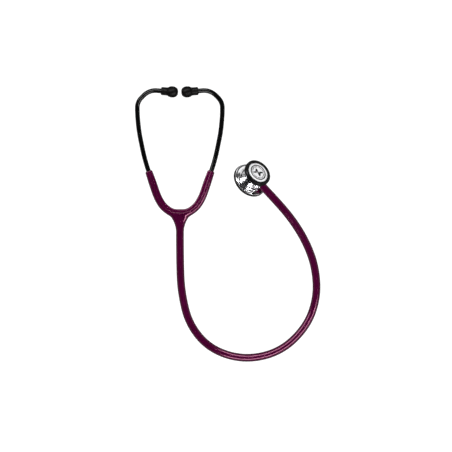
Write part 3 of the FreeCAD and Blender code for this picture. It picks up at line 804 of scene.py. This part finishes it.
def make_chestpiece(shell, steel, rim, disc, ink):
    swivel = JOINTS["chestpiece_swivel"]
    press = JOINTS["adult_diaphragm_press"]
    chest = frame_of(swivel["pos_m"], press["axis"], swivel["axis"])
    stem = frame_of(swivel["pos_m"], swivel["axis"], press["axis"])
    turned = [
        ("chestpiece_shell", CHEST_OUTLINE, shell, chest, "chestpiece", "chestpiece_body", "steel"),
        ("stem_boss", BOSS, steel, stem, "chestpiece", "chestpiece_body", "steel"),
        ("large_rim", ADULT_RIM, rim, chest, "chestpiece", "adult_rim", "rim"),
        ("small_rim", SMALL_RIM, rim, chest, "chestpiece", "pediatric_rim", "rim"),
        ("large_disc", ADULT_DISC, disc, chest, "adult_disc", "adult_diaphragm", "diaphragm"),
        ("small_disc", SMALL_DISC, disc, chest, "pediatric_disc", "pediatric_diaphragm", "diaphragm"),
    ]
    for name, outline, material, place, body, node, slot in turned:
        piece = lathe(name, outline, material, place)
        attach(piece, body)
        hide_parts(node)
    add_print("small_disc_print", chest, SMALL_FACE, 1, ink, "pediatric_disc")
    add_print("large_disc_print", chest, LARGE_FACE, -1, ink, "adult_disc")


# The print's line, ring and dashes are shares of its face's radius, its angles are in degrees, its depth and
# lifts are in millimetres, and the bars' overlap is a share of half their width.
PULSE_LINE = [(-0.46, 0.0), (-0.26, 0.0), (-0.12, 0.34), (0.08, -0.36), (0.2, 0.0), (0.46, 0.0)]
PULSE_TURN = 52
PULSE_WIDTH = 0.16
PRINT_RING = (0.71, 0.82)
PRINT_DASHES = (0.55, 0.65)
DASH_COUNT = 26
LONG_DASH = 9.0
SHORT_DASH = 5.0
ARC_PART = 5.0
PRINT_SUNK = 0.1
PRINT_LIFT = 0.03
CROSSING_LIFT = 0.003
BAR_OVERLAP = 0.6


def faces_along(parts):
    """The faces of a bar of four points to each end of its parts."""
    faces = []
    for number in range(parts):
        a = 4 * number
        faces += [[a + 1, a + 3, a + 7, a + 5], [a, a + 1, a + 5, a + 4], [a + 2, a + 6, a + 7, a + 3],
                  [a, a + 4, a + 6, a + 2]]
    last = 4 * parts
    return faces + [[0, 2, 3, 1], [last, last + 1, last + 3, last + 2]]


def arc_band(inner, outer, start, stop, level, up):
    """A thin raised stroke along an arc, in degrees, as points and faces."""
    parts = max(2, math.ceil(abs(stop - start) / ARC_PART))
    vertices = []
    for number in range(parts + 1):
        angle = math.radians(start + (stop - start) * number / parts)
        for radius in (inner, outer):
            for height in (level - PRINT_SUNK * up, level + PRINT_LIFT * up):
                vertices.append((radius * math.cos(angle), radius * math.sin(angle), height))
    return vertices, faces_along(parts)


def stroke_bars(points, width, level, up):
    """A thin raised stroke along a zigzag line, one bar to each run, as shapes of points and faces."""
    shapes = []
    for number, (start, end) in enumerate(zip(points, points[1:])):
        ahead = (end - start).normalized() * (width / 2)
        across = Vector((-ahead.y, ahead.x))
        lift = (PRINT_LIFT + CROSSING_LIFT * (number % 2)) * up
        corners = []
        for place in (start - ahead * BAR_OVERLAP, end + ahead * BAR_OVERLAP):
            for side in (place - across, place + across):
                corners += [(side.x, side.y, level - PRINT_SUNK * up), (side.x, side.y, level + lift)]
        shapes.append((corners, faces_along(1)))
    return shapes


def add_print(name, chest, face, up, material, body):
    """A generic printed pattern: a ring, a ring of dashes and a pulse line, with no lettering."""
    level, radius = face
    ring_inner, ring_outer = PRINT_RING
    dash_inner, dash_outer = PRINT_DASHES
    shapes = [arc_band(radius * ring_inner, radius * ring_outer, 0, 360, level, up)]
    for number in range(DASH_COUNT):
        start = 360 * number / DASH_COUNT
        stop = start + (LONG_DASH if number % 3 else SHORT_DASH)
        shapes.append(arc_band(radius * dash_inner, radius * dash_outer, start, stop, level, up))
    turn = Matrix.Rotation(math.radians(PULSE_TURN * up), 2)
    line = [turn @ Vector(point) * radius for point in PULSE_LINE]
    shapes += stroke_bars(line, radius * PULSE_WIDTH, level, up)
    vertices, faces = [], []
    for more, sides in shapes:
        faces += [[len(vertices) + index for index in side] for side in sides]
        vertices += more
    piece = add_piece(name, vertices, faces, material, chest)
    fix_normals(piece)
    piece.data.polygons.foreach_set("use_smooth", [False] * len(piece.data.polygons))
    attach(piece, body)


# ---- CAD nodes that show as they are ----

SHARP_ANGLE = 32


def dress_nodes(dress):
    """Gives each named node its material and soft edges, and leaves its shape and place alone."""
    for node, material in dress.items():
        data = NODES[node].data
        data.materials.clear()
        data.materials.append(material)
        data.polygons.foreach_set("use_smooth", [True] * len(data.polygons))
        data.set_sharp_from_angle(angle=math.radians(SHARP_ANGLE))


# ---- the making ----

make_camera()
make_lights()
make_floor()
tubing = tubing_material()
rubber = rubber_material("black_rubber", 0.42)
steel = steel_material("turned_steel")
spring = spring_material()
tube_black = ear_tube_material()
make_hose(tubing)
make_skin(tubing)
make_spring_halves(spring)
make_eartips(rubber)
# The body's steel, with shade painted dark into its grooves.
shade_grooves = [(inner * MM, outer * MM) for inner, outer in PAINTED_SHADE_RINGS]
body_steel = steel_material("turned_body_painted_shade", shade_grooves)
make_chestpiece(body_steel, steel, rim_material(), disc_material(), print_material())
dress_nodes({
    "left_ear_tube": tube_black, "right_ear_tube": tube_black, "left_eartip_core": rubber,
    "right_eartip_core": rubber, "stem": steel, "stem_o_rings": rubber, "stem_retaining_ring": spring,
    "detent_ball": spring, "detent_spring": spring, "detent_screw": steel, "adult_surround": rubber,
    "pediatric_surround": rubber,
})
